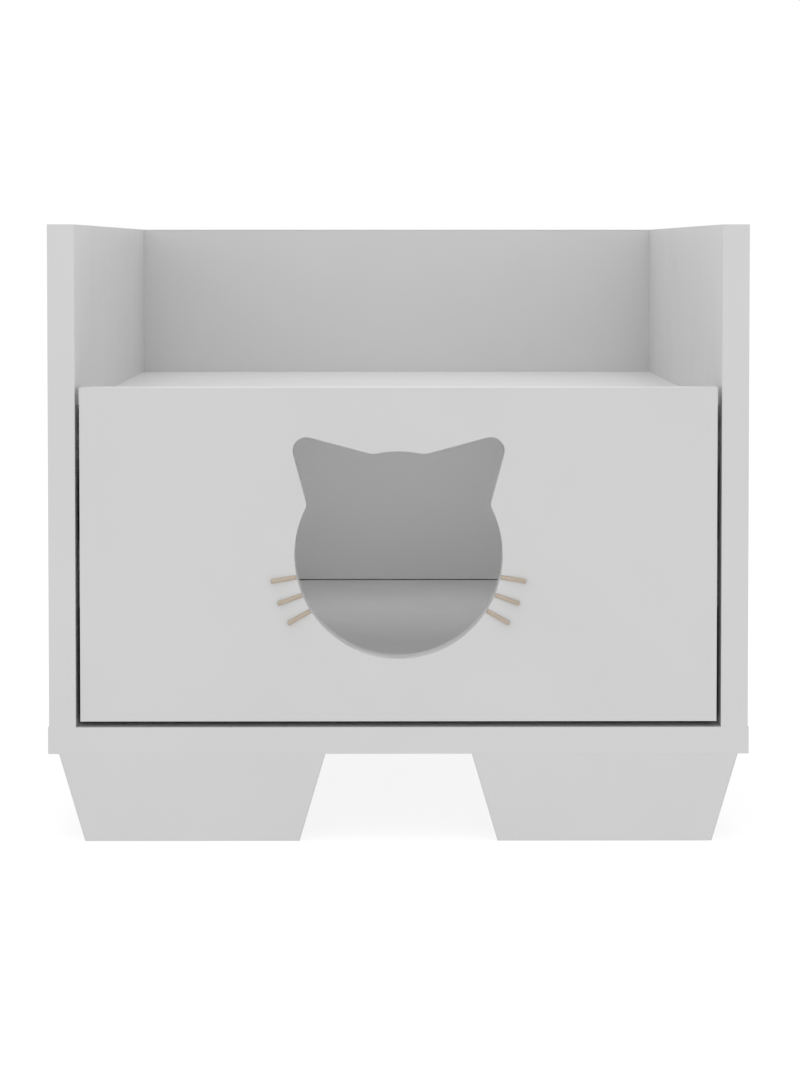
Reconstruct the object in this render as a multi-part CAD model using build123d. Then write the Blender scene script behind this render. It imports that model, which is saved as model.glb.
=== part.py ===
from build123d import *
import math
import os

# Cat bed with drawer. Millimetres, +Z up, the front faces -Y and +X is the viewer's right.
# The origin is on the floor, under the middle of the cabinet.

# Cabinet
CABINET_WIDTH = 470.0  # over the outer faces of the two side panels
CABINET_DEPTH = 450.0  # front plane to rear plane
SIDE_HEIGHT = 338.0  # the side panels stand on the bottom panel
SHELF_TOP_HEIGHT = 216.0  # top face of the shelf above the top face of the bottom panel
SIDE_BOARD = 18.0
BOTTOM_BOARD = 18.0
BACK_BOARD = 18.0
SHELF_BOARD = 18.0
EDGE_BAND = 0.7

# Feet: upright trapezoid plates under the bottom panel, two in front and two at the rear
FOOT_HEIGHT = 59.0
FOOT_BOARD = 18.0
FOOT_TOP_WIDTH = 179.2
FOOT_BOTTOM_WIDTH = 144.3
FOOT_SIDE_INSET = 6.6  # from the cabinet's side to the foot's upper outer corner

# Drawer front and its cat-head cut-out
FRONT_BOARD = 18.0
FRONT_LIP = 12.5  # upper edge of the drawer front above the shelf's top face
FRONT_SIDE_GAP = 3.1
FRONT_BOTTOM_GAP = 4.0
HEAD_RADIUS = 70.0
HEAD_CENTRE_HEIGHT = 112.0  # above the lower edge of the drawer front
EAR_TIP_OUT = 75.0  # sharp tip of the ear, sideways from the head's centre
EAR_TIP_UP = 83.3  # the same tip, above the head's centre
EAR_TIP_ANGLE = 60.0
EAR_LEAN = 45.0  # the ear's middle line, from the vertical
EAR_FLANK = 70.0  # length of the ear's two flanks, which end inside the head's circle
EAR_TIP_RADIUS = 9.3
EAR_OUTER_ROOT_RADIUS = 6.5  # where an ear's outer flank meets the head's circle
EAR_INNER_ROOT_RADIUS = 1.5

# Whiskers: round dowels that lie in sloping grooves at the rim of the cut-out
WHISKER_DIAMETER = 3.0
WHISKER_LENGTH = 17.3
WHISKER_SINK = 0.4  # depth of the axis below the front face, at the rim
WHISKER_RISE = 4.5  # degrees by which a whisker rises out of the front face
WHISKER_RIM_ANGLES = {"upper": 12.2, "middle": 22.5, "lower": 32.3}  # below the horizontal, seen from the centre
WHISKER_TURN = 3.0  # degrees by which a whisker lies flatter than its rim angle
WHISKER_BEVEL = 0.3

# Drawer box
DRAWER_BOARD = 15.0
FLOOR_BOARD = 15.0
DRAWER_TOP_CLEARANCE = 21.6  # between the drawer's sides and the shelf
DRAWER_LIFT = 21.4  # lower edge of the drawer's sides above the lower edge of its front
DRAWER_REAR_CLEARANCE = 13.0  # between the drawer box and the back panel
FLOOR_BACK_GAP = 0.6  # the drawer's floor ends this far before its back and below it, seen as a dark line
SHELF_FRONT_GAP = 2.5  # between the drawer front and the shelf, for the buffers

# Ball runners
RAIL_SPACE = 13.0  # room between the cabinet's side and the drawer's side
RAIL_HEIGHT = 45.7
RAIL_SHEET = 1.2
RAIL_SETBACK = 1.0  # front end of the rails behind the rear face of the drawer front
MIDDLE_RAIL_OFFSET = 2.75  # the middle rail's web, from the cabinet's side
OUTER_BALL_OFFSET = 6.0  # centres of the two rows of balls, from the cabinet's side
INNER_BALL_OFFSET = 8.5
BALL_DIAMETER = 4.0
BALL_PLAY = 0.05  # clearance round a ball, on each side
RACE_LIP_ANGLE = 15.0  # a race ends this many degrees short of the ball's middle plane
STOP_LENGTH = 5.0
STOP_PLAY = 0.3
CAGE_LENGTH = 120.0
CAGE_SHEET = 0.5
CAGE_EDGE = 0.6  # sheet left beside a ball's hole
CAGE_WEB_PLAY = 0.5  # from the web of the rail that the cage runs on
CAGE_END_MARGIN = 10.0  # rail left in front of a cage when the drawer is fully open
BALLS_PER_ROW = 8
CAGE_FIRST_BALL = 11.0  # first ball, from the end of the cage
RAIL_SCREW_SETBACK = 35.0  # first and last screw, from the ends of a rail

# Screws, dowels and cam fittings
FIT = 0.05  # clearance of a fastener in its hole, on the radius
BOTTOM_PLAY = 0.5  # room past the end of a fastener in its hole
RAIL_SCREW_HEAD = 7.0
RAIL_SCREW_HEAD_DEPTH = 2.0
RAIL_SCREW_SHANK = 3.5
CABINET_RAIL_SCREW_LENGTH = 16.0
DRAWER_RAIL_SCREW_LENGTH = 12.0
CONFIRMAT_LENGTH = 50.0
CONFIRMAT_HEAD = 10.0
CONFIRMAT_RIM = 1.0
CONFIRMAT_HEAD_DEPTH = 4.0
CONFIRMAT_SHANK_END = 16.0  # the plain shank ends this far below the top of the head
CONFIRMAT_SHANK = 7.0
CONFIRMAT_CORE = 5.0
CONFIRMAT_POINT = 2.0
HEX_SOCKET = 4.0
HEX_SOCKET_DEPTH = 3.0
DOWEL_DIAMETER = 8.0
DOWEL_LENGTH = 30.0
DOWEL_FACE_DEPTH = 11.5  # the part of a dowel that stands in the face of a board
DOWEL_BEVEL = 1.0
CAM_DIAMETER = 15.0
CAM_PAST_MIDDLE = 4.0  # the cam reaches this far past the middle of its board
CAM_BACKSET = 24.0  # centre of the cam from the end of its board
CAM_SLOT_LENGTH = 9.0
CAM_SLOT_WIDTH = 1.8
CAM_SLOT_DEPTH = 2.5
CAM_EYE = 4.0  # round hole in the middle of the cam's cross slot
BOLT_HEAD = 7.0
BOLT_HEAD_LENGTH = 2.5
BOLT_SHANK = 5.0
BOLT_COLLAR = 7.6
BOLT_COLLAR_LENGTH = 4.0
BOLT_BORE = 8.0
BOLT_THREAD = 6.0
BOLT_THREAD_LENGTH = 11.0
CAP_DIAMETER = 17.0
CAP_THICKNESS = 1.0
CAP_STEM_LENGTH = 2.0
BUFFER_DIAMETER = 9.0
BUFFER_PLAY = 0.2

# Distances of the fasteners from the ends of their boards
SIDE_SCREW_INSET = 75.0
SIDE_DOWEL_INSET = 40.0
BACK_SCREW_SPREAD = 60.0
BACK_CAM_INSET = 60.0
BACK_DOWEL_INSET = 110.0
SHELF_CAM_INSET = 60.0
SHELF_DOWEL_INSET = 100.0
SHELF_BUFFER_SPREAD = 300.0
FOOT_CAM_SPREAD = 100.0
FOOT_DOWEL_SPREAD = 50.0
DRAWER_CAM_INSET = 30.0
DRAWER_DOWEL_SPREAD = 40.0
DRAWER_SCREW_INSET = 30.0
FLOOR_SCREW_INSET = 50.0
FLOOR_DOWEL_SPREAD = 200.0

# Planes of the cabinet
X_OUTER = CABINET_WIDTH / 2
X_INNER = X_OUTER - SIDE_BOARD
X_SIDE_MIDDLE = X_OUTER - SIDE_BOARD / 2
Y_FRONT = -CABINET_DEPTH / 2
Y_REAR = CABINET_DEPTH / 2
Y_BACK = Y_REAR - BACK_BOARD
Y_BACK_MIDDLE = Y_REAR - BACK_BOARD / 2
Z_BASE = FOOT_HEIGHT + BOTTOM_BOARD
Z_TOP = Z_BASE + SIDE_HEIGHT
Z_SHELF = Z_BASE + SHELF_TOP_HEIGHT
Z_SHELF_MIDDLE = Z_SHELF - SHELF_BOARD / 2

# Planes of the drawer
X_FRONT_EDGE = X_INNER - FRONT_SIDE_GAP
Z_FRONT_LOW = Z_BASE + FRONT_BOTTOM_GAP
Z_FRONT_HIGH = Z_SHELF + FRONT_LIP
Z_HEAD = Z_FRONT_LOW + HEAD_CENTRE_HEIGHT
Y_BOX_FRONT = Y_FRONT + FRONT_BOARD
Y_BOX_REAR = Y_BACK - DRAWER_REAR_CLEARANCE
Y_BOX_BACK = Y_BOX_REAR - DRAWER_BOARD
Y_SHELF_FRONT = Y_BOX_FRONT + SHELF_FRONT_GAP
X_BOX = X_INNER - RAIL_SPACE
X_CABIN = X_BOX - DRAWER_BOARD
X_BOX_SIDE_MIDDLE = X_BOX - DRAWER_BOARD / 2
Z_BOX_LOW = Z_FRONT_LOW + DRAWER_LIFT
Z_BOX_HIGH = Z_SHELF - SHELF_BOARD - DRAWER_TOP_CLEARANCE
Z_BOX_MIDDLE = (Z_BOX_LOW + Z_BOX_HIGH) / 2
Z_FLOOR = Z_BOX_LOW + FLOOR_BOARD
Z_FLOOR_MIDDLE = Z_BOX_LOW + FLOOR_BOARD / 2
Z_BACK_LOW = Z_FLOOR + FLOOR_BACK_GAP
Y_FLOOR_REAR = Y_BOX_BACK - FLOOR_BACK_GAP

# Places of the runners
Z_RAIL = Z_BOX_MIDDLE
Y_RAIL_FRONT = Y_BOX_FRONT + RAIL_SETBACK
RAIL_LENGTH = Y_BOX_REAR - Y_RAIL_FRONT
MOVING_RAIL_LENGTH = RAIL_LENGTH - STOP_LENGTH - STOP_PLAY
CAGE_SETBACK = RAIL_LENGTH / 4 + CAGE_END_MARGIN
RACE_RADIUS = BALL_DIAMETER / 2 + BALL_PLAY
RAIL_RACE = RAIL_HEIGHT / 2 - RAIL_SHEET
OUTER_BALL_HEIGHT = RAIL_RACE - RACE_RADIUS
INNER_BALL_HEIGHT = OUTER_BALL_HEIGHT - 2 * RACE_RADIUS - RAIL_SHEET

CORNER_MATCH = 0.01  # a vertex this near to a corner's place is that corner
SIDES = (-1, 1)
LEFT_AND_RIGHT = {"left": -1, "right": 1}


# Plain shapes

def block(x, y, z):
    """Rectangular block between two limits along each axis."""
    centre = ((x[0] + x[1]) / 2, (y[0] + y[1]) / 2, (z[0] + z[1]) / 2)
    return Pos(*centre) * Box(x[1] - x[0], y[1] - y[0], z[1] - z[0])


def span(side, near, far):
    """Limits along X of something between two distances from the middle plane, on one side."""
    return sorted((side * near, side * far))


def turned(points):
    """Solid of revolution about Z from (radius, height) points, closed along the axis."""
    return revolve(Plane.XZ * make_face(Polyline(*points, close=True)), Axis.Z)


def place(frames, shape):
    """One copy of a shape in each frame."""
    return [Location(frame) * shape for frame in frames]


def frame(origin, along, across=None):
    """Frame at a point with its Z axis along a direction, and its X axis across if that is given."""
    return Plane(origin=origin, x_dir=across, z_dir=along)


# Fasteners, each along +Z of its own frame. With a clearance they are the holes that take them.

def confirmat(clearance=0.0, past_end=0.0):
    """Confirmat screw, with the top of its countersunk head at the origin."""
    head = CONFIRMAT_HEAD / 2 + clearance
    shank = CONFIRMAT_SHANK / 2 + clearance
    core = CONFIRMAT_CORE / 2 + clearance
    end = CONFIRMAT_LENGTH + past_end
    return turned([
        (0, 0),
        (head, 0),
        (head, CONFIRMAT_RIM),
        (shank, CONFIRMAT_HEAD_DEPTH),
        (shank, CONFIRMAT_SHANK_END),
        (core, CONFIRMAT_SHANK_END),
        (core, end - CONFIRMAT_POINT),
        (core / 2, end),
        (0, end),
    ])


def confirmat_screw():
    """Confirmat screw with its hexagon socket."""
    socket = extrude(RegularPolygon(HEX_SOCKET / 2, 6, major_radius=False), HEX_SOCKET_DEPTH)
    return confirmat() - socket


def confirmat_hole():
    """Stepped hole for a confirmat screw."""
    return confirmat(FIT, BOTTOM_PLAY)


def dowel(clearance=0.0, past_end=0.0):
    """Fluted wooden dowel's envelope, with the joint plane at the origin and its face end towards -Z."""
    radius = DOWEL_DIAMETER / 2 + clearance
    low = -DOWEL_FACE_DEPTH - past_end
    high = DOWEL_LENGTH - DOWEL_FACE_DEPTH + past_end
    return turned([
        (0, low),
        (radius - DOWEL_BEVEL, low),
        (radius, low + DOWEL_BEVEL),
        (radius, high - DOWEL_BEVEL),
        (radius - DOWEL_BEVEL, high),
        (0, high),
    ])


def dowel_hole():
    """Pair of holes for a dowel, as one cutter for both boards."""
    return dowel(FIT, BOTTOM_PLAY)


def rail_screw(length, clearance=0.0, past_end=0.0):
    """Countersunk wood screw, with the top of its head at the origin."""
    head = RAIL_SCREW_HEAD / 2 + clearance
    shank = RAIL_SCREW_SHANK / 2 + clearance
    end = length + past_end
    return turned([
        (0, 0),
        (head, 0),
        (shank, RAIL_SCREW_HEAD_DEPTH),
        (shank, end - RAIL_SCREW_HEAD_DEPTH),
        (0, end),
    ])


# Cam fitting. The frame's origin is where the cam's axis meets the face of its board, +Z goes into
# that board and +X points to the board that the bolt is screwed into.

def cam_height(board):
    """Height of the cam in a board of this thickness."""
    return board / 2 + CAM_PAST_MIDDLE


def along_bolt(board, shape):
    """Shape along +Z, turned onto the bolt's axis."""
    return Pos(0, 0, board / 2) * Rot(0, 90, 0) * shape


def cam_lock(board):
    """Cam with its cross slot, its eye and the pocket that draws in the bolt's head."""
    body = Pos(0, 0, cam_height(board) / 2) * Cylinder(CAM_DIAMETER / 2, cam_height(board))
    slot = Box(CAM_SLOT_LENGTH, CAM_SLOT_WIDTH, 2 * CAM_SLOT_DEPTH)
    cross = slot + Rot(0, 0, 90) * slot + Cylinder(CAM_EYE / 2, 2 * CAM_SLOT_DEPTH)
    pocket_length = CAM_DIAMETER
    pocket = Pos(0, 0, pocket_length / 2 - BOLT_HEAD_LENGTH) * Cylinder(BOLT_BORE / 2, pocket_length)
    return body - cross - along_bolt(board, pocket)


def cam_bolt(board):
    """Bolt from the cam's middle to the end of its thread in the next board."""
    head = BOLT_HEAD / 2
    shank = BOLT_SHANK / 2
    collar = BOLT_COLLAR / 2
    thread = BOLT_THREAD / 2
    end = CAM_BACKSET + BOLT_THREAD_LENGTH
    return along_bolt(board, turned([
        (0, -BOLT_HEAD_LENGTH / 2),
        (head, -BOLT_HEAD_LENGTH / 2),
        (head, BOLT_HEAD_LENGTH / 2),
        (shank, BOLT_HEAD_LENGTH / 2),
        (shank, CAM_BACKSET - BOLT_COLLAR_LENGTH),
        (collar, CAM_BACKSET - BOLT_COLLAR_LENGTH),
        (collar, CAM_BACKSET),
        (thread, CAM_BACKSET),
        (thread, end - thread / 2),
        (thread / 2, end),
        (0, end),
    ]))


def cam_cap():
    """Push-in cover cap over a cam, with a small stem in the cam's eye."""
    radius = CAP_DIAMETER / 2
    bevel = CAP_THICKNESS / 2
    stem = CAM_EYE / 2 - FIT
    return turned([
        (0, -CAP_THICKNESS),
        (radius - bevel, -CAP_THICKNESS),
        (radius, -CAP_THICKNESS + bevel),
        (radius, 0),
        (stem, 0),
        (stem, CAP_STEM_LENGTH),
        (0, CAP_STEM_LENGTH),
    ])


def cam_board_holes(board):
    """Holes in the cam's own board: the cam's seat and the bolt's way to the board's end."""
    seat_depth = cam_height(board) + BOTTOM_PLAY
    seat = Pos(0, 0, seat_depth / 2) * Cylinder(CAM_DIAMETER / 2 + FIT, seat_depth)
    bore = Pos(0, 0, CAM_BACKSET / 2) * Cylinder(BOLT_BORE / 2, CAM_BACKSET)
    return seat + along_bolt(board, bore)


def cam_bolt_hole(board):
    """Threaded hole for the bolt in the next board."""
    depth = BOLT_THREAD_LENGTH + BOTTOM_PLAY
    hole = Pos(0, 0, CAM_BACKSET + depth / 2) * Cylinder(BOLT_THREAD / 2 + FIT, depth)
    return along_bolt(board, hole)


def cam_frame(end_point, towards, into, board):
    """Frame of a cam fitting from the middle of the board's end, the next board and the cam's open face."""
    end_point, towards, into = Vector(end_point), Vector(towards), Vector(into)
    return frame(end_point - towards * CAM_BACKSET - into * (board / 2), into, towards)


# Where each group of fasteners goes

def mirrored_pair(value):
    """A value and its opposite."""
    return (-value, value)


def bottom_screw_frames():
    """Confirmats that come up through the bottom panel, into the sides and into the back."""
    inset = CABINET_DEPTH / 2 - SIDE_SCREW_INSET
    under_sides = [(side * X_SIDE_MIDDLE, y) for side in SIDES for y in (-inset, 0, inset)]
    under_back = [(x, Y_BACK_MIDDLE) for x in mirrored_pair(BACK_SCREW_SPREAD / 2)]
    return [frame((x, y, FOOT_HEIGHT), (0, 0, 1)) for x, y in under_sides + under_back]


def side_dowel_frames():
    """Dowels between the bottom panel and the sides and back, which stand on it.

    Those under the back stand over the middle of the feet, clear of the feet's own dowels.
    """
    inset = CABINET_DEPTH / 2 - SIDE_DOWEL_INSET
    under_sides = [(side * X_SIDE_MIDDLE, y) for side in SIDES for y in mirrored_pair(inset)]
    under_back = [(x, Y_BACK_MIDDLE) for x in mirrored_pair(foot_middle())]
    return [frame((x, y, Z_BASE), (0, 0, 1)) for x, y in under_sides + under_back]


def end_dowel_frames():
    """Dowels between the sides and the ends of the shelf and the back panel."""
    shelf_ys = (Y_SHELF_FRONT + SHELF_DOWEL_INSET, Y_BACK - SHELF_DOWEL_INSET)
    back_zs = (Z_BASE + BACK_DOWEL_INSET, Z_TOP - BACK_DOWEL_INSET)
    places = [(y, Z_SHELF_MIDDLE) for y in shelf_ys] + [(Y_BACK_MIDDLE, z) for z in back_zs]
    return [frame((side * X_INNER, y, z), (-side, 0, 0)) for side in SIDES for y, z in places]


def shelf_cam_frames():
    """Cams in the shelf's underside, with bolts in the sides."""
    ys = (Y_SHELF_FRONT + SHELF_CAM_INSET, Y_BACK - SHELF_CAM_INSET)
    return [
        cam_frame((side * X_INNER, y, Z_SHELF_MIDDLE), (side, 0, 0), (0, 0, 1), SHELF_BOARD)
        for side in SIDES
        for y in ys
    ]


def back_cam_frames():
    """Cams in the back panel's rear face, with bolts in the sides."""
    zs = (Z_BASE + BACK_CAM_INSET, Z_TOP - BACK_CAM_INSET)
    return [
        cam_frame((side * X_INNER, Y_BACK_MIDDLE, z), (side, 0, 0), (0, -1, 0), BACK_BOARD)
        for side in SIDES
        for z in zs
    ]


def foot_middle():
    """Distance of a foot's middle from the cabinet's middle plane."""
    return X_OUTER - FOOT_SIDE_INSET - FOOT_TOP_WIDTH / 2


def foot_plate_middle(end):
    """Middle plane of the front (-1) or rear (1) foot plates."""
    return end * (CABINET_DEPTH - FOOT_BOARD) / 2


def foot_cam_frames(side, end):
    """Cams in the inner face of one foot plate, with bolts in the bottom panel."""
    y = foot_plate_middle(end)
    xs = [side * foot_middle() + x for x in mirrored_pair(FOOT_CAM_SPREAD / 2)]
    return [cam_frame((x, y, FOOT_HEIGHT), (0, 0, 1), (0, end, 0), FOOT_BOARD) for x in xs]


def foot_dowel_frames(side, end):
    """Dowels between one foot plate and the bottom panel."""
    xs = [side * foot_middle() + x for x in mirrored_pair(FOOT_DOWEL_SPREAD / 2)]
    return [frame((x, foot_plate_middle(end), FOOT_HEIGHT), (0, 0, -1)) for x in xs]


def all_feet(frames_of_foot):
    """The frames of all four foot plates."""
    return [item for side in SIDES for end in SIDES for item in frames_of_foot(side, end)]


def drawer_cam_frames(side):
    """Cams in the inner face of one drawer side, with bolts in the drawer front."""
    zs = (Z_BOX_LOW + DRAWER_CAM_INSET, Z_BOX_HIGH - DRAWER_CAM_INSET)
    x = side * X_BOX_SIDE_MIDDLE
    return [cam_frame((x, Y_BOX_FRONT, z), (0, -1, 0), (side, 0, 0), DRAWER_BOARD) for z in zs]


def drawer_screw_frames(side):
    """Confirmats through one drawer side, into the drawer's back and floor."""
    back_zs = (Z_BACK_LOW + DRAWER_SCREW_INSET, Z_BOX_HIGH - DRAWER_SCREW_INSET)
    floor_ys = (Y_BOX_FRONT + FLOOR_SCREW_INSET, (Y_BOX_FRONT + Y_FLOOR_REAR) / 2, Y_FLOOR_REAR - FLOOR_SCREW_INSET)
    places = [(Y_BOX_REAR - DRAWER_BOARD / 2, z) for z in back_zs] + [(y, Z_FLOOR_MIDDLE) for y in floor_ys]
    return [frame((side * X_BOX, y, z), (-side, 0, 0)) for y, z in places]


def drawer_dowel_frames():
    """Dowels between the drawer front and the ends of the drawer's sides and floor."""
    zs = [Z_BOX_MIDDLE + z for z in mirrored_pair(DRAWER_DOWEL_SPREAD / 2)]
    in_sides = [(side * X_BOX_SIDE_MIDDLE, z) for side in SIDES for z in zs]
    in_floor = [(x, Z_FLOOR_MIDDLE) for x in mirrored_pair(FLOOR_DOWEL_SPREAD / 2)]
    return [frame((x, Y_BOX_FRONT, z), (0, 1, 0)) for x, z in in_sides + in_floor]


def rail_screw_ys(length):
    """Places along Y of the three screws of a rail of this length."""
    first = Y_RAIL_FRONT + RAIL_SCREW_SETBACK
    last = Y_RAIL_FRONT + length - RAIL_SCREW_SETBACK
    return (first, (first + last) / 2, last)


def cabinet_rail_screw_frames(side):
    """Screws of one cabinet rail, from the rail's web into the cabinet's side."""
    x = side * (X_INNER - RAIL_SHEET)
    return [frame((x, y, Z_RAIL), (side, 0, 0)) for y in rail_screw_ys(RAIL_LENGTH)]


def drawer_rail_screw_frames(side):
    """Screws of one drawer rail, from the rail's web into the drawer's side."""
    x = side * (X_BOX + RAIL_SHEET)
    return [frame((x, y, Z_RAIL), (-side, 0, 0)) for y in rail_screw_ys(MOVING_RAIL_LENGTH)]


# Cabinet

def cabinet_nodes():
    """Boards of the cabinet, their edge bands and the fasteners that hold them."""
    screws = place(bottom_screw_frames(), confirmat_hole())
    dowels = place(side_dowel_frames() + end_dowel_frames(), dowel_hole())
    foot_dowels = place(all_feet(foot_dowel_frames), dowel_hole())
    carcass_cuts = screws + dowels
    shelf_bolts = place(shelf_cam_frames(), cam_bolt_hole(SHELF_BOARD))
    back_bolts = place(back_cam_frames(), cam_bolt_hole(BACK_BOARD))
    foot_bolts = place(all_feet(foot_cam_frames), cam_bolt_hole(FOOT_BOARD))
    y_core = (Y_FRONT + EDGE_BAND, Y_REAR - EDGE_BAND)
    nodes = {}

    for name, side in LEFT_AND_RIGHT.items():
        x = span(side, X_INNER, X_OUTER)
        side_cuts = place(cabinet_rail_screw_frames(side), rail_screw(CABINET_RAIL_SCREW_LENGTH, FIT, BOTTOM_PLAY))
        panel = block(x, y_core, (Z_BASE, Z_TOP - EDGE_BAND))
        nodes[f"{name}_side_panel"] = [panel - (carcass_cuts + shelf_bolts + back_bolts + side_cuts)]
        nodes[f"{name}_side_edge_bands"] = [
            block(x, (Y_FRONT, Y_FRONT + EDGE_BAND), (Z_BASE, Z_TOP)),
            block(x, (Y_REAR - EDGE_BAND, Y_REAR), (Z_BASE, Z_TOP)),
            block(x, y_core, (Z_TOP - EDGE_BAND, Z_TOP)),
        ]

    bottom = block((-X_OUTER, X_OUTER), y_core, (FOOT_HEIGHT, Z_BASE))
    nodes["bottom_panel"] = [bottom - (carcass_cuts + foot_dowels + foot_bolts)]
    z_bottom = (FOOT_HEIGHT, Z_BASE)
    nodes["bottom_edge_bands"] = [
        block((-X_OUTER, X_OUTER), (Y_FRONT, Y_FRONT + EDGE_BAND), z_bottom),
        block((-X_OUTER, X_OUTER), (Y_REAR - EDGE_BAND, Y_REAR), z_bottom),
    ] + [block(span(side, X_OUTER, X_OUTER + EDGE_BAND), (Y_FRONT, Y_REAR), z_bottom) for side in SIDES]

    x_between = (-X_INNER, X_INNER)
    back = block(x_between, (Y_BACK, Y_REAR), (Z_BASE, Z_TOP - EDGE_BAND))
    back_cams = place(back_cam_frames(), cam_board_holes(BACK_BOARD))
    nodes["back_panel"] = [back - (carcass_cuts + back_cams)]
    nodes["back_edge_band"] = [block(x_between, (Y_BACK, Y_REAR), (Z_TOP - EDGE_BAND, Z_TOP))]

    z_shelf = (Z_SHELF - SHELF_BOARD, Z_SHELF)
    shelf = block(x_between, (Y_SHELF_FRONT + EDGE_BAND, Y_BACK), z_shelf)
    shelf_cams = place(shelf_cam_frames(), cam_board_holes(SHELF_BOARD))
    nodes["shelf_panel"] = [shelf - (dowels + shelf_cams)]
    nodes["shelf_edge_band"] = [block(x_between, (Y_SHELF_FRONT, Y_SHELF_FRONT + EDGE_BAND), z_shelf)]
    nodes["shelf_buffers"] = place(
        [frame((x, Y_SHELF_FRONT, Z_SHELF_MIDDLE), (0, -1, 0)) for x in mirrored_pair(SHELF_BUFFER_SPREAD / 2)],
        shelf_buffer(),
    )

    nodes["bottom_confirmat_screws"] = place(bottom_screw_frames(), confirmat_screw())
    nodes["cabinet_dowels"] = place(side_dowel_frames() + end_dowel_frames(), dowel())
    nodes["foot_dowels"] = place(all_feet(foot_dowel_frames), dowel())
    cam_groups = [
        (shelf_cam_frames(), SHELF_BOARD),
        (back_cam_frames(), BACK_BOARD),
        (all_feet(foot_cam_frames), FOOT_BOARD),
    ]
    nodes["cabinet_cam_locks"] = [lock for frames, board in cam_groups for lock in place(frames, cam_lock(board))]
    nodes["cabinet_cam_bolts"] = [bolt for frames, board in cam_groups for bolt in place(frames, cam_bolt(board))]
    nodes["cabinet_cam_caps"] = [cap for frames, board in cam_groups for cap in place(frames, cam_cap())]
    return nodes


def shelf_buffer():
    """Soft button that the closed drawer front rests on."""
    radius = BUFFER_DIAMETER / 2
    height = SHELF_FRONT_GAP - BUFFER_PLAY
    bevel = height / 3
    return turned([(0, 0), (radius, 0), (radius, height - bevel), (radius - bevel, height), (0, height)])


# Feet

def foot_slope_inset():
    """How far each sloping edge of a foot comes in from top to floor."""
    return (FOOT_TOP_WIDTH - FOOT_BOTTOM_WIDTH) / 2


def foot_band_width():
    """Edge band of a sloping edge, measured along the horizontal."""
    return EDGE_BAND / math.cos(math.atan2(foot_slope_inset(), FOOT_HEIGHT))


def foot_prism(side, end, left_top, right_top, left_floor, right_floor):
    """Upright plate of one foot between four corners, given along X from the foot's middle."""
    outline = make_face(Polyline(
        (left_top, FOOT_HEIGHT),
        (right_top, FOOT_HEIGHT),
        (right_floor, 0),
        (left_floor, 0),
        close=True,
    ))
    upright = frame((side * foot_middle(), foot_plate_middle(end) + FOOT_BOARD / 2, 0), (0, -1, 0), (1, 0, 0))
    return extrude(upright * outline, FOOT_BOARD)


def foot_nodes():
    """Four foot plates and the edge bands on their sloping edges."""
    band = foot_band_width()
    top = FOOT_TOP_WIDTH / 2
    floor = FOOT_BOTTOM_WIDTH / 2
    nodes = {}
    bands = []
    for end_name, end in (("front", -1), ("rear", 1)):
        for side_name, side in LEFT_AND_RIGHT.items():
            plate = foot_prism(side, end, band - top, top - band, band - floor, floor - band)
            cuts = place(foot_cam_frames(side, end), cam_board_holes(FOOT_BOARD))
            cuts += place(foot_dowel_frames(side, end), dowel_hole())
            nodes[f"{end_name}_{side_name}_foot"] = [plate - cuts]
            bands.append(foot_prism(side, end, -top, band - top, -floor, band - floor))
            bands.append(foot_prism(side, end, top - band, top, floor - band, floor))
    nodes["foot_edge_bands"] = bands
    return nodes


# Runners. Sections are drawn with X from the cabinet's side towards the drawer and Y up from the rail's middle.

def panel(u, v):
    """Rectangle between two limits along each axis of the section."""
    return Pos((u[0] + u[1]) / 2, (v[0] + v[1]) / 2) * Rectangle(u[1] - u[0], v[1] - v[0])


def race(centre, start, end):
    """Sheet curled round a ball, between two angles."""
    arcs = [CenterArc(centre, radius, start, end - start) for radius in (RACE_RADIUS, RACE_RADIUS + RAIL_SHEET)]
    ends = [Line(arcs[0] @ place_on_arc, arcs[1] @ place_on_arc) for place_on_arc in (0, 1)]
    return make_face(arcs + ends)


def both_halves(upper):
    """Section from its upper half."""
    return upper + mirror(upper, about=Plane.XZ)


def upper_race(ball):
    """Race over a ball: it closes on the side of the drawer."""
    return race(ball, RACE_LIP_ANGLE, 90)


def lower_race(ball):
    """Race under a ball: it closes on the side of the cabinet."""
    return race(ball, 180 + RACE_LIP_ANGLE, 270)


def outer_ball():
    """Centre of the balls between the cabinet rail and the middle rail."""
    return (OUTER_BALL_OFFSET, OUTER_BALL_HEIGHT)


def inner_ball():
    """Centre of the balls between the middle rail and the drawer rail."""
    return (INNER_BALL_OFFSET, INNER_BALL_HEIGHT)


def cabinet_rail_section():
    """C-shaped section on the cabinet's side."""
    top = RAIL_HEIGHT / 2
    web = panel((0, RAIL_SHEET), (0, top))
    flange = panel((0, OUTER_BALL_OFFSET), (RAIL_RACE, top))
    return both_halves(web + flange + upper_race(outer_ball()))


def middle_rail_section():
    """C-shaped section with a race outside for the outer balls and one inside for the inner balls."""
    top = OUTER_BALL_HEIGHT - RACE_RADIUS
    near = MIDDLE_RAIL_OFFSET
    web = panel((near, near + RAIL_SHEET), (0, top))
    flange = panel((near, INNER_BALL_OFFSET), (top - RAIL_SHEET, top))
    return both_halves(web + flange + lower_race(outer_ball()) + upper_race(inner_ball()))


def drawer_rail_section():
    """C-shaped section on the drawer's side."""
    top = INNER_BALL_HEIGHT - RACE_RADIUS
    web = panel((RAIL_SPACE - RAIL_SHEET, RAIL_SPACE), (0, top))
    flange = panel((INNER_BALL_OFFSET, RAIL_SPACE), (top - RAIL_SHEET, top))
    return both_halves(web + flange + lower_race(inner_ball()))


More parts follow.
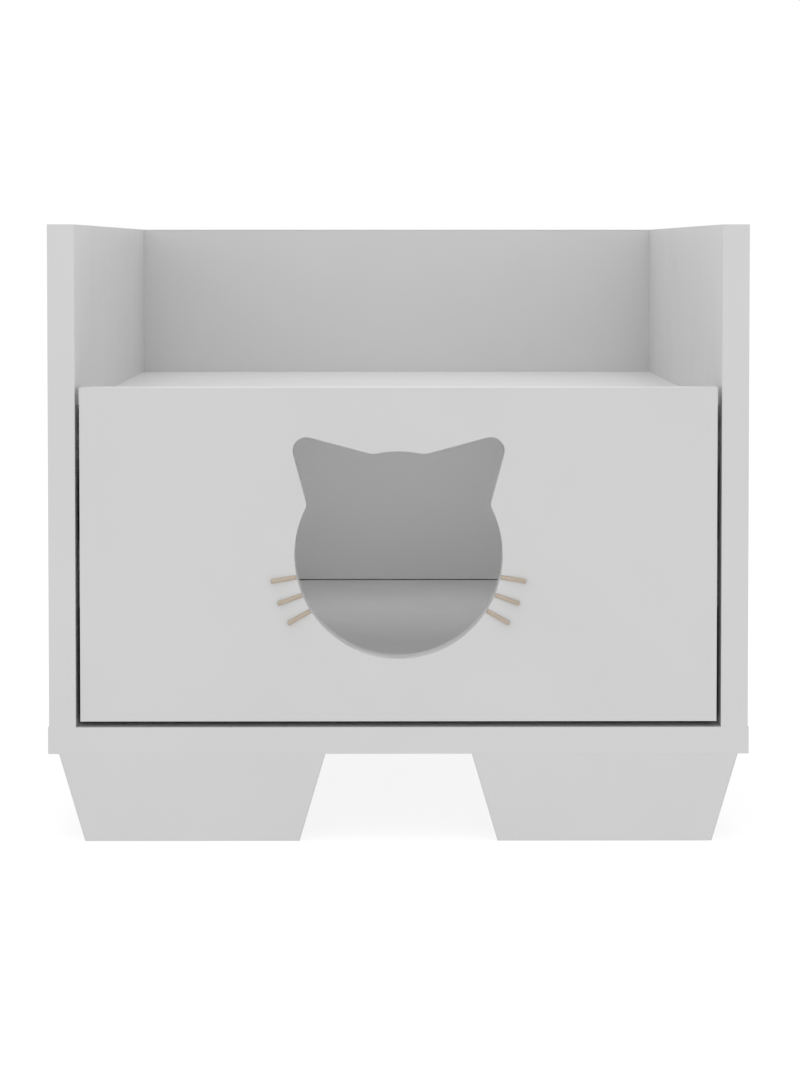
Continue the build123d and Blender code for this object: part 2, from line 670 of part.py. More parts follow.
def cage_section(web_face, ball):
    """Thin channel that carries two rows of balls, with its web beside a rail's web."""
    near = web_face + CAGE_WEB_PLAY
    far = ball[0] + BALL_DIAMETER / 2 + BALL_PLAY + CAGE_EDGE
    top = ball[1] + CAGE_SHEET / 2
    web = panel((near, near + CAGE_SHEET), (0, top))
    ear = panel((near, far), (top - CAGE_SHEET, top))
    return both_halves(web + ear)


def rail_frame(y_rear):
    """Frame of the left runner's sections, at the rear end of what is extruded to the front."""
    return frame((-X_INNER, y_rear, Z_RAIL), (0, -1, 0), (1, 0, 0))


def rail(section, length):
    """Left rail from the front end of the runner."""
    return extrude(rail_frame(Y_RAIL_FRONT + length) * section, length)


def cage_and_balls(web_face, ball):
    """Left ball cage and its balls."""
    y_front = Y_RAIL_FRONT + CAGE_SETBACK
    pitch = (CAGE_LENGTH - 2 * CAGE_FIRST_BALL) / (BALLS_PER_ROW - 1)
    ys = [y_front + CAGE_FIRST_BALL + i * pitch for i in range(BALLS_PER_ROW)]
    centres = [(ball[0] - X_INNER, y, Z_RAIL + up * ball[1]) for up in SIDES for y in ys]
    cage = extrude(rail_frame(y_front + CAGE_LENGTH) * cage_section(web_face, ball), CAGE_LENGTH)
    holes = [Pos(*centre) * Cylinder(BALL_DIAMETER / 2 + BALL_PLAY, 2 * CAGE_SHEET) for centre in centres]
    balls = [Pos(*centre) * Sphere(BALL_DIAMETER / 2) for centre in centres]
    return cage - holes, balls


def on_side(side, shapes):
    """Shapes made for the left runner, mirrored for the right one."""
    return shapes if side < 0 else [mirror(shape, about=Plane.YZ) for shape in shapes]


def rail_stop():
    """Rubber block in the rear end of the left cabinet rail, which the moving rails close against."""
    y_rear = Y_RAIL_FRONT + RAIL_LENGTH
    half_height = INNER_BALL_HEIGHT + RACE_RADIUS
    return block(
        (RAIL_SHEET - X_INNER, INNER_BALL_OFFSET + RACE_RADIUS - X_INNER),
        (y_rear - STOP_LENGTH, y_rear),
        (Z_RAIL - half_height, Z_RAIL + half_height),
    )


def runner_nodes():
    """Rails, cages, balls, stops and screws of both runners."""
    outer_cage, outer_balls = cage_and_balls(RAIL_SHEET, outer_ball())
    inner_cage, inner_balls = cage_and_balls(MIDDLE_RAIL_OFFSET + RAIL_SHEET, inner_ball())
    cabinet_rail = rail(cabinet_rail_section(), RAIL_LENGTH)
    middle_rail = rail(middle_rail_section(), MOVING_RAIL_LENGTH)
    drawer_rail = rail(drawer_rail_section(), MOVING_RAIL_LENGTH)
    cabinet_screw = rail_screw(CABINET_RAIL_SCREW_LENGTH)
    drawer_screw = rail_screw(DRAWER_RAIL_SCREW_LENGTH)
    cabinet_cuts = place(cabinet_rail_screw_frames(-1), rail_screw(CABINET_RAIL_SCREW_LENGTH, FIT))
    drawer_cuts = place(drawer_rail_screw_frames(-1), rail_screw(DRAWER_RAIL_SCREW_LENGTH, FIT))
    nodes = {"rail_stops": [], "cabinet_rail_screws": [], "drawer_rail_screws": []}
    for name, side in LEFT_AND_RIGHT.items():
        nodes[f"{name}_cabinet_rail"] = on_side(side, [cabinet_rail - cabinet_cuts])
        nodes[f"{name}_middle_rail"] = on_side(side, [middle_rail])
        nodes[f"{name}_drawer_rail"] = on_side(side, [drawer_rail - drawer_cuts])
        nodes[f"{name}_outer_ball_cage"] = on_side(side, [outer_cage])
        nodes[f"{name}_outer_balls"] = on_side(side, outer_balls)
        nodes[f"{name}_inner_ball_cage"] = on_side(side, [inner_cage])
        nodes[f"{name}_inner_balls"] = on_side(side, inner_balls)
        nodes["rail_stops"] += on_side(side, [rail_stop()])
        nodes["cabinet_rail_screws"] += place(cabinet_rail_screw_frames(side), cabinet_screw)
        nodes["drawer_rail_screws"] += place(drawer_rail_screw_frames(side), drawer_screw)
    return nodes


# Drawer

def ear():
    """Right ear: a corner between two straight flanks, which end inside the head's circle."""
    middle = 270 - EAR_LEAN
    flanks = [middle + EAR_TIP_ANGLE / 2, middle - EAR_TIP_ANGLE / 2]
    roots = [(EAR_FLANK * math.cos(math.radians(a)), EAR_FLANK * math.sin(math.radians(a))) for a in flanks]
    return Pos(EAR_TIP_OUT, EAR_TIP_UP) * make_face(Polyline((0, 0), *roots, close=True))


def rounded(outline, points, radius):
    """Outline with its corners at some points rounded."""
    corners = [
        vertex
        for vertex in outline.vertices()
        if any(math.dist((vertex.X, vertex.Y), point) < CORNER_MATCH for point in points)
    ]
    return fillet(corners, radius)


def cat_head():
    """Outline of the cut-out: a circle with two ears, rounded at the tips and at the roots."""
    outline = Circle(HEAD_RADIUS) + ear() + mirror(ear(), about=Plane.YZ)
    corners = [(vertex.X, vertex.Y) for vertex in outline.vertices() if vertex.Y > 0]
    corners.sort(key=lambda corner: math.hypot(*corner))
    roots, tips = corners[:-2], corners[-2:]
    roots.sort(key=lambda corner: corner[1])
    outline = rounded(outline, roots[:2], EAR_OUTER_ROOT_RADIUS)
    outline = rounded(outline, roots[2:], EAR_INNER_ROOT_RADIUS)
    return rounded(outline, tips, EAR_TIP_RADIUS)


def cat_cut():
    """Cutter for the cut-out, through the whole drawer front."""
    start = frame((0, Y_BOX_FRONT + FRONT_BOARD, Z_HEAD), (0, -1, 0), (1, 0, 0))
    return extrude(start * cat_head(), 3 * FRONT_BOARD)


def whisker_frame(side, rim_angle):
    """Frame along a whisker's axis, from the rim of the cut-out outwards."""
    rim = math.radians(rim_angle)
    slope = math.radians(rim_angle - WHISKER_TURN)
    rise = math.radians(WHISKER_RISE)
    start = (
        side * HEAD_RADIUS * math.cos(rim),
        Y_FRONT + WHISKER_SINK,
        Z_HEAD - HEAD_RADIUS * math.sin(rim),
    )
    direction = (
        side * math.cos(slope) * math.cos(rise),
        -math.sin(rise),
        -math.sin(slope) * math.cos(rise),
    )
    return frame(start, direction)


def whisker():
    """Short round stick with bevelled ends, from just behind the rim."""
    radius = WHISKER_DIAMETER / 2
    low = WHISKER_BEVEL
    high = WHISKER_LENGTH
    return turned([
        (0, low),
        (radius - WHISKER_BEVEL, low),
        (radius, low + WHISKER_BEVEL),
        (radius, high - WHISKER_BEVEL),
        (radius - WHISKER_BEVEL, high),
        (0, high),
    ])


def whisker_groove():
    """Round groove for a whisker, open to the rim."""
    before_rim = WHISKER_DIAMETER
    length = before_rim + WHISKER_LENGTH
    return Pos(0, 0, length / 2 - before_rim) * Cylinder(WHISKER_DIAMETER / 2 + FIT, length)


def drawer_nodes():
    """Drawer front, drawer box, whiskers, edge bands and the fasteners that hold them."""
    cam_frames = [item for side in SIDES for item in drawer_cam_frames(side)]
    screw_frames = [item for side in SIDES for item in drawer_screw_frames(side)]
    cam_seats = place(cam_frames, cam_board_holes(DRAWER_BOARD))
    bolt_holes = place(cam_frames, cam_bolt_hole(DRAWER_BOARD))
    screw_holes = place(screw_frames, confirmat_hole())
    dowel_holes = place(drawer_dowel_frames(), dowel_hole())
    y_front = (Y_FRONT, Y_BOX_FRONT)
    x_core = X_FRONT_EDGE - EDGE_BAND
    z_box_core = (Z_BOX_LOW, Z_BOX_HIGH - EDGE_BAND)
    z_box_band = (Z_BOX_HIGH - EDGE_BAND, Z_BOX_HIGH)
    nodes = {}

    grooves = []
    for name, rim_angle in WHISKER_RIM_ANGLES.items():
        for side_name, side in LEFT_AND_RIGHT.items():
            nodes[f"{side_name}_{name}_whisker"] = place([whisker_frame(side, rim_angle)], whisker())
            grooves += place([whisker_frame(side, rim_angle)], whisker_groove())

    front = block((-x_core, x_core), y_front, (Z_FRONT_LOW + EDGE_BAND, Z_FRONT_HIGH - EDGE_BAND))
    nodes["drawer_front"] = [front - ([cat_cut()] + grooves + bolt_holes + dowel_holes)]
    nodes["drawer_front_edge_bands"] = [
        block(span(side, x_core, X_FRONT_EDGE), y_front, (Z_FRONT_LOW, Z_FRONT_HIGH)) for side in SIDES
    ] + [
        block((-x_core, x_core), y_front, (Z_FRONT_LOW, Z_FRONT_LOW + EDGE_BAND)),
        block((-x_core, x_core), y_front, (Z_FRONT_HIGH - EDGE_BAND, Z_FRONT_HIGH)),
    ]

    box_bands = [block((-X_CABIN, X_CABIN), (Y_BOX_BACK, Y_BOX_REAR), z_box_band)]
    for name, side in LEFT_AND_RIGHT.items():
        x = span(side, X_CABIN, X_BOX)
        rail_holes = place(drawer_rail_screw_frames(side), rail_screw(DRAWER_RAIL_SCREW_LENGTH, FIT, BOTTOM_PLAY))
        board = block(x, (Y_BOX_FRONT, Y_BOX_REAR), z_box_core)
        nodes[f"drawer_{name}_side"] = [board - (cam_seats + screw_holes + dowel_holes + rail_holes)]
        box_bands.append(block(x, (Y_BOX_FRONT, Y_BOX_REAR), z_box_band))
    nodes["drawer_box_edge_bands"] = box_bands

    back = block((-X_CABIN, X_CABIN), (Y_BOX_BACK, Y_BOX_REAR), (Z_BACK_LOW, Z_BOX_HIGH - EDGE_BAND))
    floor = block((-X_CABIN, X_CABIN), (Y_BOX_FRONT, Y_FLOOR_REAR), (Z_BOX_LOW, Z_FLOOR))
    nodes["drawer_back"] = [back - screw_holes]
    nodes["drawer_floor"] = [floor - (screw_holes + dowel_holes)]

    nodes["drawer_cam_locks"] = place(cam_frames, cam_lock(DRAWER_BOARD))
    nodes["drawer_cam_bolts"] = place(cam_frames, cam_bolt(DRAWER_BOARD))
    nodes["drawer_cam_caps"] = place(cam_frames, cam_cap())
    nodes["drawer_confirmat_screws"] = place(screw_frames, confirmat_screw())
    nodes["drawer_dowels"] = place(drawer_dowel_frames(), dowel())
    return nodes


def solids_of(shapes):
    """All the solids in a list of shapes."""
    return [solid for shape in shapes for solid in shape.solids()]


def main():
    """Write one file per named piece."""
    os.makedirs("parts", exist_ok=True)
    nodes = {**cabinet_nodes(), **foot_nodes(), **runner_nodes(), **drawer_nodes()}
    for name, shapes in nodes.items():
        solids = solids_of(shapes)
        shape = solids[0] if len(solids) == 1 else Compound(children=solids)
        export_step(shape, f"parts/{name}.step")


main()
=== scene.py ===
import bpy
import math
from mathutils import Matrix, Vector


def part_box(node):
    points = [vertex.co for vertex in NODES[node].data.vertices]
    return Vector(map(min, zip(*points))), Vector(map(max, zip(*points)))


# Cat bed with drawer: a small cabinet of white melamine board. Metres, +Z up, the front faces -Y.
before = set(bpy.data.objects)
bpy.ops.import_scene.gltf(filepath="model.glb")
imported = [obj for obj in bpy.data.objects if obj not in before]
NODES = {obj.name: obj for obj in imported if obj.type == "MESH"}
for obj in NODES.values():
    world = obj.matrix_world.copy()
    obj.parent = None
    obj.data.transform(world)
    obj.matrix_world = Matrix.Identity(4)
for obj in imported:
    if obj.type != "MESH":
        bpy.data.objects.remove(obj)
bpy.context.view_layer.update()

MM = 0.001

# The picture and its camera. Lengths in pixels are those of a picture with this many rows.
PHOTO_HEIGHT = 1066
SENSOR_LONG_SIDE = 36.0  # Blender's own sensor size, along the picture's height
FOCAL_PIXELS = 2274.0
CAMERA_X = -5.7 * MM
CAMERA_FRONT_DISTANCE = 1521 * MM  # from the plane of the drawer front
CAMERA_HEIGHT = 399 * MM
CAMERA_YAW = math.radians(0.25)
CAMERA_TILT = math.radians(1.68)
SHIFT_ROWS = 218.0  # rows that the object is moved up by lens shift, the tilt does the rest

# Colours of the finishes, linear
WHITE_FACE = (0.582, 0.582, 0.582)
WHITE_BAND = (0.588, 0.588, 0.588)
CHIPBOARD_LIGHT = (0.56, 0.42, 0.27)
CHIPBOARD_DARK = (0.24, 0.15, 0.08)
WOOD_LIGHT = (0.50, 0.43, 0.355)
WOOD_DARK = (0.33, 0.27, 0.21)
# Whisker end faces: darker end grain, partly painted shade of the end that faces down towards the board
WOOD_END_GRAIN_AND_SHADE = (0.23, 0.17, 0.12)
BEECH_LIGHT = (0.62, 0.42, 0.26)
BEECH_DARK = (0.45, 0.27, 0.15)
STEEL = (0.56, 0.57, 0.58)
STEEL_DARK = (0.45, 0.46, 0.47)
ZINC = (0.47, 0.48, 0.50)
POLISHED = (0.66, 0.66, 0.66)
RUBBER = (0.30, 0.31, 0.32)
CAP_WHITE = (0.66, 0.66, 0.655)

# Gloss and worn edges
WHITE_SPECULAR = 0.35
WOOD_SPECULAR = 0.3
HANDLED_EDGE = 1.2 * MM  # how far from an edge the white boards look handled
RUBBED_EDGE = 0.4 * MM  # and how far the metal looks rubbed


class Shader:
    """Node tree of one material, with short calls for the nodes that the finishes share."""

    def __init__(self, name):
        self.material = bpy.data.materials.new(name)
        self.material.use_nodes = True
        self.tree = self.material.node_tree
        self.tree.nodes.clear()
        self.surface = self.add("ShaderNodeBsdfPrincipled")
        output = self.add("ShaderNodeOutputMaterial")
        self.link(self.surface.outputs["BSDF"], output.inputs["Surface"])
        coordinates = self.add("ShaderNodeTexCoord")
        self.place = coordinates.outputs["Object"]
        self.normal = coordinates.outputs["Normal"]

    def add(self, kind, **settings):
        node = self.tree.nodes.new(kind)
        for key, value in settings.items():
            setattr(node, key, value)
        return node

    def link(self, start, end):
        self.tree.links.new(start, end)

    def put(self, value, socket):
        """Links a socket or sets a plain value."""
        if isinstance(value, bpy.types.NodeSocket):
            self.link(value, socket)
        elif isinstance(value, tuple) and len(value) == 3 and len(socket.default_value) == 4:
            socket.default_value = (*value, 1.0)
        else:
            socket.default_value = value

    def math(self, operation, a, b=0.0, clamp=False):
        node = self.add("ShaderNodeMath", operation=operation, use_clamp=clamp)
        self.put(a, node.inputs[0])
        self.put(b, node.inputs[1])
        return node.outputs[0]

    def scaled(self, scale, turn=(0.0, 0.0, 0.0)):
        """Coordinates with their own scale along each axis, turned first."""
        mapping = self.add("ShaderNodeMapping", vector_type="TEXTURE")
        self.link(self.place, mapping.inputs["Vector"])
        mapping.inputs["Rotation"].default_value = turn
        mapping.inputs["Scale"].default_value = tuple(1 / s for s in scale)
        return mapping.outputs["Vector"]

    def noise(self, place, scale=1.0, detail=2.0, roughness=0.5, distortion=0.0):
        node = self.add("ShaderNodeTexNoise")
        self.link(place, node.inputs["Vector"])
        node.inputs["Scale"].default_value = scale
        node.inputs["Detail"].default_value = detail
        node.inputs["Roughness"].default_value = roughness
        node.inputs["Distortion"].default_value = distortion
        return node.outputs["Fac"]

    def cells(self, place):
        """Random colour of the nearest cell, and the distance to its centre."""
        node = self.add("ShaderNodeTexVoronoi")
        self.link(place, node.inputs["Vector"])
        node.inputs["Scale"].default_value = 1.0
        return node.outputs["Color"], node.outputs["Distance"]

    def span(self, value, low, high, to_low=0.0, to_high=1.0):
        """Value between two limits, spread between two others."""
        node = self.add("ShaderNodeMapRange")
        self.put(value, node.inputs["Value"])
        limits = {"From Min": low, "From Max": high, "To Min": to_low, "To Max": to_high}
        for socket, number in limits.items():
            node.inputs[socket].default_value = number
        return node.outputs["Result"]

    def mix(self, share, a, b):
        """Colour between two colours."""
        node = self.add("ShaderNodeMix", data_type="RGBA")
        self.put(share, node.inputs["Factor"])
        self.put(a, node.inputs["A"])
        self.put(b, node.inputs["B"])
        return node.outputs["Result"]

    def bump(self, height, distance, strength=1.0, under=None):
        node = self.add("ShaderNodeBump")
        self.put(height, node.inputs["Height"])
        node.inputs["Distance"].default_value = distance
        node.inputs["Strength"].default_value = strength
        if under is not None:
            self.link(under, node.inputs["Normal"])
        return node.outputs["Normal"]

    def edges(self, radius):
        """How much a point lies on an edge of its piece: 0 on a face, towards 1 on an edge."""
        bevel = self.add("ShaderNodeBevel", samples=4)
        bevel.inputs["Radius"].default_value = radius
        geometry = self.add("ShaderNodeNewGeometry")
        dot = self.add("ShaderNodeVectorMath", operation="DOT_PRODUCT")
        self.link(bevel.outputs["Normal"], dot.inputs[0])
        self.link(geometry.outputs["True Normal"], dot.inputs[1])
        return self.span(dot.outputs["Value"], 1.0, 0.8)

    def across(self, axis):
        """How far the normal is turned away from an axis of the piece: 0 along it, 1 square to it."""
        parts = self.add("ShaderNodeSeparateXYZ")
        self.link(self.normal, parts.inputs["Vector"])
        along = self.math("ABSOLUTE", parts.outputs["XYZ".index(axis)])
        return self.span(along, 0.6, 0.3)

    def finish(self, colour, roughness, normal=None, **constants):
        """Feeds the surface. The constants go on its own sockets."""
        self.put(colour, self.surface.inputs["Base Color"])
        self.put(roughness, self.surface.inputs["Roughness"])
        if normal is not None:
            self.link(normal, self.surface.inputs["Normal"])
        for socket, value in constants.items():
            self.surface.inputs[socket.replace("_", " ")].default_value = value
        return self.material


# Finishes

def melamine(shader, face):
    """Colour, roughness and relief of melamine board: fine pearl texture, faint mottling, handled edges."""
    place = shader.place
    mottling = shader.noise(place, 9.0, 3.0, 0.55)
    pearls = shader.noise(place, 1150.0, 2.0, 0.6)
    smears = shader.noise(shader.scaled((30.0, 30.0, 11.0)), 1.0, 4.0, 0.6, 0.4)
    edge = shader.edges(HANDLED_EDGE)
    tone = shader.span(mottling, 0.3, 0.7, 0.985, 1.012)
    shade = shader.math("MULTIPLY", tone, shader.span(pearls, 0.25, 0.75, 0.992, 1.006))
    scale = shader.add("ShaderNodeVectorMath", operation="SCALE")
    scale.inputs[0].default_value = face
    shader.link(shade, scale.inputs["Scale"])
    worn = shader.math("MULTIPLY", edge, shader.span(smears, 0.35, 0.7, 0.0, 0.5), clamp=True)
    colour = shader.mix(worn, scale.outputs["Vector"], tuple(c * 0.93 for c in face))
    smeared = shader.span(smears, 0.3, 0.75, 0.42, 0.54)
    roughness = shader.math("ADD", smeared, shader.math("MULTIPLY", worn, 0.12))
    normal = shader.bump(pearls, 0.012 * MM, 0.6)
    normal = shader.bump(shader.noise(place, 55.0, 1.0), 0.05 * MM, 0.35, under=normal)
    return colour, roughness, normal


def chipboard(shader):
    """Colour and relief of the raw core: pressed chips between finer dust."""
    place = shader.scaled((380.0, 380.0, 620.0))
    chips, distance = shader.cells(place)
    chip_tone = shader.add("ShaderNodeSeparateColor")
    shader.link(chips, chip_tone.inputs["Color"])
    fibres = shader.noise(place, 3.2, 4.0, 0.65)
    chip_share = shader.math("MULTIPLY", chip_tone.outputs["Red"], 0.65)
    fibre_share = shader.math("MULTIPLY", fibres, 0.4)
    tone = shader.math("ADD", chip_share, fibre_share)
    colour = shader.mix(tone, CHIPBOARD_LIGHT, CHIPBOARD_DARK)
    normal = shader.bump(shader.math("ADD", distance, fibres), 0.25 * MM, 0.7)
    return colour, normal


def board_material(name, axis):
    """White board whose thickness lies along an axis. Its unbanded edges and its holes show the raw core."""
    shader = Shader(name)
    white, roughness, white_normal = melamine(shader, WHITE_FACE)
    raw, raw_normal = chipboard(shader)
    core = shader.across(axis)
    colour = shader.mix(core, white, raw)
    rough = shader.math("ADD", roughness, shader.math("MULTIPLY", core, 0.4), clamp=True)
    normal = shader.add("ShaderNodeMix", data_type="VECTOR")
    shader.link(core, normal.inputs["Factor"])
    shader.link(white_normal, normal.inputs["A"])
    shader.link(raw_normal, normal.inputs["B"])
    return shader.finish(colour, rough, normal.outputs["Result"], Specular_IOR_Level=WHITE_SPECULAR)


def painted_material():
    """Drawer front: the same white on its faces and round the cut-out's rim."""
    shader = Shader("front_white")
    colour, roughness, normal = melamine(shader, WHITE_FACE)
    return shader.finish(colour, roughness, normal, Specular_IOR_Level=WHITE_SPECULAR)


def band_material():
    """Plastic edge band, a touch smoother than the board, with faint marks of the scraper along it."""
    shader = Shader("edge_band_white")
    colour, roughness, normal = melamine(shader, WHITE_BAND)
    scraper = shader.noise(shader.scaled((900.0, 900.0, 900.0)), 0.6, 1.0)
    rough = shader.math("SUBTRACT", roughness, shader.span(scraper, 0.3, 0.7, 0.03, 0.10))
    return shader.finish(colour, rough, normal, Specular_IOR_Level=WHITE_SPECULAR)


def wood_material(name, along, light, dark, end, fibre=1.0):
    """Round stick of wood whose grain runs along a direction, darker on its end faces: real end grain, and
    on the whiskers also painted shade of the end that faces down and out towards the board.
    """
    shader = Shader(name)
    turn = along.to_track_quat("X", "Z").to_euler()
    place = shader.scaled((90.0, 2600.0 * fibre, 2600.0 * fibre), tuple(turn))
    grain = shader.noise(place, 1.0, 4.0, 0.6, 0.3)
    streaks = shader.noise(shader.scaled((30.0, 900.0 * fibre, 900.0 * fibre), tuple(turn)), 1.0, 2.0)
    grain_share = shader.math("MULTIPLY", grain, 0.6)
    streak_share = shader.math("MULTIPLY", streaks, 0.5)
    tone = shader.math("ADD", grain_share, streak_share, clamp=True)
    colour = shader.mix(shader.span(tone, 0.38, 0.78), light, dark)
    dot = shader.add("ShaderNodeVectorMath", operation="DOT_PRODUCT")
    shader.link(shader.normal, dot.inputs[0])
    dot.inputs[1].default_value = along
    on_end = shader.span(shader.math("ABSOLUTE", dot.outputs["Value"]), 0.6, 0.85)
    pores = shader.noise(shader.place, 5200.0, 2.0)
    # End faces take the end colour: end grain, and on the whiskers painted shade as well
    end_grain_and_shade_colour = shader.mix(pores, end, tuple(c * 1.5 for c in end))
    colour = shader.mix(on_end, colour, end_grain_and_shade_colour)
    roughness = shader.span(grain, 0.3, 0.7, 0.55, 0.72)
    normal = shader.bump(grain, 0.06 * MM, 0.8)
    return shader.finish(colour, roughness, normal, Specular_IOR_Level=WOOD_SPECULAR)


def metal_material(name, light, dark, rough, stretch=(40.0, 700.0, 700.0), bump=0.01):
    """Metal with drawing marks along one axis, cloudy plating and rubbed edges."""
    shader = Shader(name)
    marks = shader.noise(shader.scaled(stretch), 1.0, 3.0, 0.6)
    clouds = shader.noise(shader.place, 160.0, 3.0, 0.55, 0.6)
    edge = shader.edges(RUBBED_EDGE)
    colour = shader.mix(shader.span(clouds, 0.35, 0.65), light, dark)
    rubbed = tuple(min(1.0, c * 1.25) for c in light)
    colour = shader.mix(shader.math("MULTIPLY", edge, 0.5), colour, rubbed)
    roughness = shader.span(marks, 0.3, 0.7, rough - 0.08, rough + 0.08)
    return shader.finish(colour, roughness, shader.bump(marks, bump * MM, 0.6), Metallic=1.0)


def plastic_material(name, colour, rough, grain_scale, grain_depth):
    """Moulded plastic or rubber with an eroded mould texture and slightly uneven colour."""
    shader = Shader(name)
    grain = shader.noise(shader.place, grain_scale, 2.0, 0.6)
    clouds = shader.noise(shader.place, 120.0, 3.0)
    darker = tuple(c * 0.95 for c in colour)
    lighter = tuple(c * 1.03 for c in colour)
    tinted = shader.mix(shader.span(clouds, 0.3, 0.7), darker, lighter)
    roughness = shader.span(grain, 0.3, 0.7, rough - 0.06, rough + 0.06)
    return shader.finish(tinted, roughness, shader.bump(grain, grain_depth * MM, 0.6))


def whisker_direction(name):
    """Rough direction of a whisker from the rim outwards, taken from the size of its box.

    The stick's own thickness makes the box deeper, so only half of its depth counts.
    """
    low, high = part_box(name)
    side = -1.0 if (low.x + high.x) < 0 else 1.0
    size = high - low
    return Vector((side * size.x, -size.y / 2, -size.z)).normalized()


# Which finish each piece gets

BOARD_AXES = {
    "X": ["left_side_panel", "right_side_panel", "drawer_left_side", "drawer_right_side"],
    "Y": [
        "back_panel", "drawer_back",
        "front_left_foot", "front_right_foot", "rear_left_foot", "rear_right_foot",
    ],
    "Z": ["bottom_panel", "shelf_panel", "drawer_floor"],
}


def give(name, material):
    """Puts a material in the slots of a CAD node's object."""
    for slot in NODES[name].material_slots:
        slot.link = "OBJECT"
        slot.material = material


def fitting_finishes():
    """Finish of the bands and fittings, by the material that the frame gives them."""
    metals = {
        "screw": metal_material("screw_zinc_plate", STEEL, STEEL_DARK, 0.34),
        "rail": metal_material("rail_zinc_plate", STEEL, STEEL_DARK, 0.30, (700.0, 30.0, 700.0)),
        "cage": metal_material("cage_sheet", STEEL, STEEL_DARK, 0.38, (700.0, 60.0, 700.0)),
        "cam": metal_material("cam_die_cast", ZINC, STEEL_DARK, 0.45, (300.0, 300.0, 300.0), 0.05),
        "ball": metal_material("ball_polished", POLISHED, STEEL, 0.12),
    }
    band = band_material()
    cap = plastic_material("cap_plastic_white", CAP_WHITE, 0.38, 700.0, 0.01)
    rubber = plastic_material("buffer_rubber", RUBBER, 0.6, 500.0, 0.02)
    beech = wood_material("beech_dowel", Vector((0, 0, 1)), BEECH_LIGHT, BEECH_DARK, BEECH_DARK, 0.5)
    return {
        "edge_band": band,
        "screw_steel": metals["screw"],
        "dowel_beech": beech,
        "cam_zinc": metals["cam"],
        "cap_plastic": cap,
        "soft_rubber": rubber,
        "rail_steel": metals["rail"],
        "cage_steel": metals["cage"],
        "ball_steel": metals["ball"],
    }


def dress():
    """Gives every piece its finish."""
    for axis, names in BOARD_AXES.items():
        material = board_material(f"melamine_board_{axis.lower()}", axis)
        for name in names:
            give(name, material)
    give("drawer_front", painted_material())
    finishes = fitting_finishes()
    for name, node in NODES.items():
        packed = node.data.materials[0].name
        if packed in finishes:
            give(name, finishes[packed])
        elif packed == "whisker_wood":
            along = whisker_direction(name)
            # The whiskers' end colour holds painted shade on top of the darker end grain
            give(name, wood_material(f"wood_{name}", along, WOOD_LIGHT, WOOD_DARK, WOOD_END_GRAIN_AND_SHADE))


# Rounded edges of the boards and their bands

EDGE_ROUNDING = {
    "white_board": 0.25 * MM,
    "edge_band": 0.22 * MM,
}
ROUNDING_STEPS = 2
ROUNDED_FROM = math.radians(50)  # flatter edges stay as they are
WELD_DISTANCE = 0.001 * MM


def round_edges():
    """Rounds the sharp edges with modifiers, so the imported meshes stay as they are."""
    for node in NODES.values():
        width = EDGE_ROUNDING.get(node.data.materials[0].name)
        if width is None:
            continue
        weld = node.modifiers.new("weld", "WELD")
        weld.merge_threshold = WELD_DISTANCE
        bevel = node.modifiers.new("rounded_edges", "BEVEL")
        bevel.width = width
        bevel.segments = ROUNDING_STEPS
        bevel.limit_method = "ANGLE"
        bevel.angle_limit = ROUNDED_FROM
        bevel.use_clamp_overlap = True


# Floor, light and camera

FLOOR_SIZE = 400.0
FLOOR_COLOUR = (0.22, 0.22, 0.22)
FLOOR_GLOW = 0.80  # light that the floor gives by itself, so that its shadows stay pale
FLOOR_ROUGHNESS = 0.9


def floor():
    """Wide pale floor with a faint grain."""
    mesh = bpy.data.meshes.new("floor")
    half = FLOOR_SIZE / 2
    corners = [(-half, -half, 0), (half, -half, 0), (half, half, 0), (-half, half, 0)]
    mesh.from_pydata(corners, [], [(0, 1, 2, 3)])
    piece = bpy.data.objects.new("floor", mesh)
    bpy.context.scene.collection.objects.link(piece)
    shader = Shader("floor_pale")
    grain = shader.noise(shader.place, 60.0, 3.0)
    colour = shader.mix(grain, tuple(c * 0.985 for c in FLOOR_COLOUR), FLOOR_COLOUR)
    glow = {"Emission_Color": (1.0, 1.0, 1.0, 1.0), "Emission_Strength": FLOOR_GLOW}
    mesh.materials.append(shader.finish(colour, FLOOR_ROUGHNESS, Specular_IOR_Level=0.0, **glow))


AIM = (0.0, 0.0, 0.22)
WORLD_STRENGTH = 1.0
# The drawer's own lights hang under the shelf and stand in for the room's light that reaches the drawer.
DRAWER_LIGHT_WIDTH = 0.36
DRAWER_PANEL_DEPTH = 0.14
DRAWER_STRIP_DEPTH = 0.02
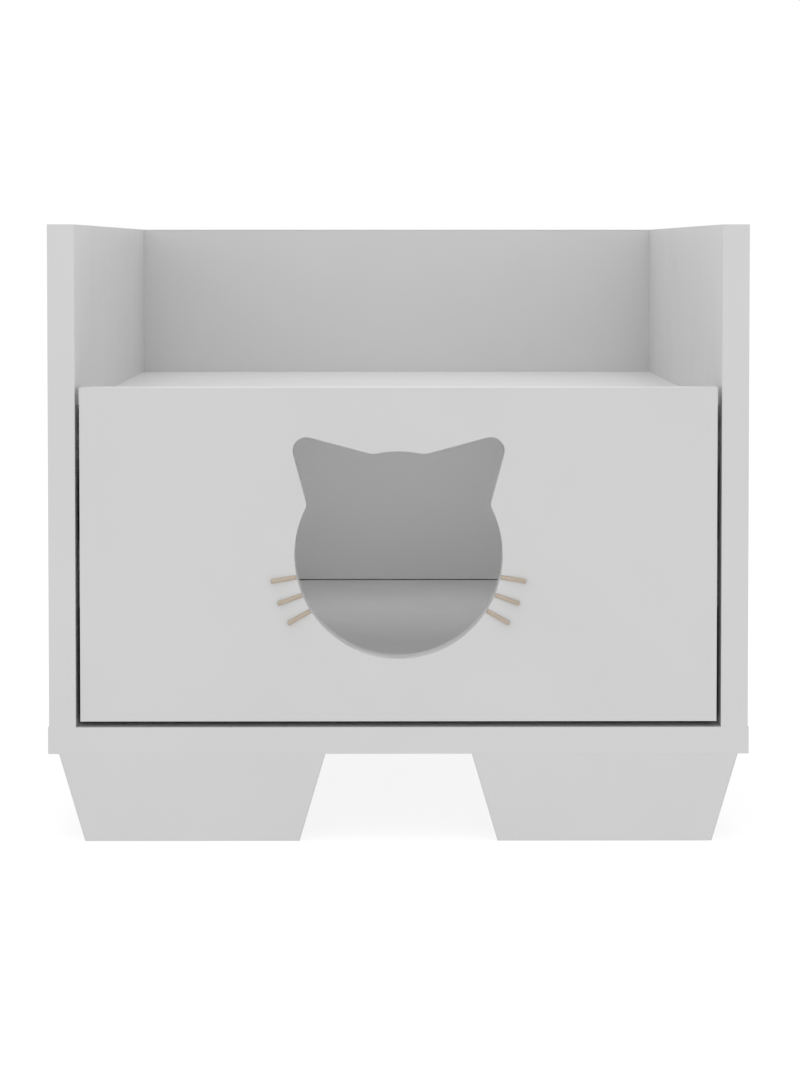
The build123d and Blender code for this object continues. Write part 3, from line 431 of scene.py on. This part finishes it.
# name: place, the point it is turned to, width, height, power in watts
LIGHTS = {
    "top_light": ((0.0, -0.2, 2.2), AIM, 1.6, 1.6, 14.0),
    "left_light": ((-1.9, -0.9, 1.4), AIM, 1.2, 1.4, 2.8),
    "drawer_top_light": (
        (0.0, -0.03, 0.268), (0.0, -0.03, 0.0), DRAWER_LIGHT_WIDTH, DRAWER_PANEL_DEPTH, 0.144
    ),
    "drawer_corner_light": (
        (0.0, 0.02, 0.262), (0.0, 0.12, 0.162), DRAWER_LIGHT_WIDTH, DRAWER_STRIP_DEPTH, 0.066
    ),
    "drawer_rear_light": (
        (0.0, 0.06, 0.262), (0.0, 0.16, 0.212), DRAWER_LIGHT_WIDTH, DRAWER_STRIP_DEPTH, 0.047
    ),
}


def lights():
    """Area lights, each turned to its point."""
    for name, (place, aim, width, height, power) in LIGHTS.items():
        data = bpy.data.lights.new(name, "AREA")
        data.shape = "RECTANGLE"
        data.size = width
        data.size_y = height
        data.energy = power
        lamp = bpy.data.objects.new(name, data)
        bpy.context.scene.collection.objects.link(lamp)
        lamp.location = place
        lamp.rotation_euler = (Vector(aim) - Vector(place)).to_track_quat("-Z", "Y").to_euler()


def surroundings():
    """Even light from all round, in front of a white background."""
    world = bpy.data.worlds.new("studio")
    bpy.context.scene.world = world
    world.use_nodes = True
    tree = world.node_tree
    tree.nodes.clear()
    output = tree.nodes.new("ShaderNodeOutputWorld")
    background = tree.nodes.new("ShaderNodeBackground")
    background.inputs["Color"].default_value = (1.0, 1.0, 1.0, 1.0)
    background.inputs["Strength"].default_value = WORLD_STRENGTH
    tree.links.new(background.outputs["Background"], output.inputs["Surface"])


def camera():
    """The photograph's camera, placed from the plane of the drawer front."""
    data = bpy.data.cameras.new("camera")
    data.sensor_width = SENSOR_LONG_SIDE
    data.lens = FOCAL_PIXELS / PHOTO_HEIGHT * SENSOR_LONG_SIDE
    data.shift_y = -SHIFT_ROWS / PHOTO_HEIGHT
    viewer = bpy.data.objects.new("camera", data)
    bpy.context.scene.collection.objects.link(viewer)
    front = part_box("drawer_front")[0].y
    viewer.location = (CAMERA_X, front - CAMERA_FRONT_DISTANCE, CAMERA_HEIGHT)
    viewer.rotation_euler = (math.pi / 2 - CAMERA_TILT, 0.0, -CAMERA_YAW)
    bpy.context.scene.camera = viewer


dress()
round_edges()
floor()
lights()
surroundings()
camera()
bpy.context.scene.view_settings.view_transform = "Standard"
